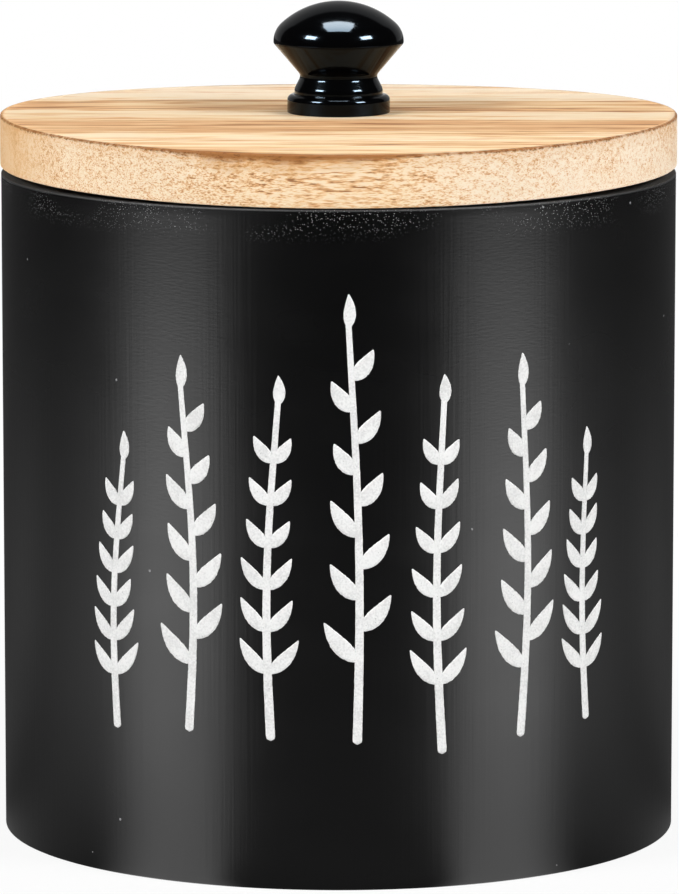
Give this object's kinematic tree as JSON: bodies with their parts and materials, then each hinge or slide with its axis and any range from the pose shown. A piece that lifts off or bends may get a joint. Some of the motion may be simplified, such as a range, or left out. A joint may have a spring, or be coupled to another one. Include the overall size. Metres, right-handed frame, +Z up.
{
  "type": "dishwasher pod container",
  "caption": "Round black wooden kitchen canister with a flat lift-off wooden lid of the same diameter, a locating step under the lid and a gloss black mushroom knob.",
  "frame": {"origin": "centre of the foot, on the surface that the canister stands on", "axes": "+Z up through the lid and knob, -Y towards the front, +X to the right along the lid's grain"},
  "size_m": [0.1502, 0.1502, 0.1847],
  "materials": {
    "black_paint": "satin black paint on wood, bare inside",
    "bare_wood": "sanded, unfinished pale softwood",
    "toasted_wood": "flat-sawn board, lightly torched, matt",
    "gloss_black": "gloss black enamel",
    "zinc_steel": "bright zinc plate"
  },
  "bodies": {
    "canister": {"canister_wall": "black_paint", "base_panel": "bare_wood"},
    "lid": {"lid_board": "toasted_wood", "knob": "gloss_black", "knob_screw": "zinc_steel", "screw_washer": "zinc_steel"}
  },
  "joints": [
    {"name": "lid_lift", "type": "slide", "parent": "canister", "child": "lid", "axis": [0, 0, 1], "range_m": [0, 0.15]}
  ]
}
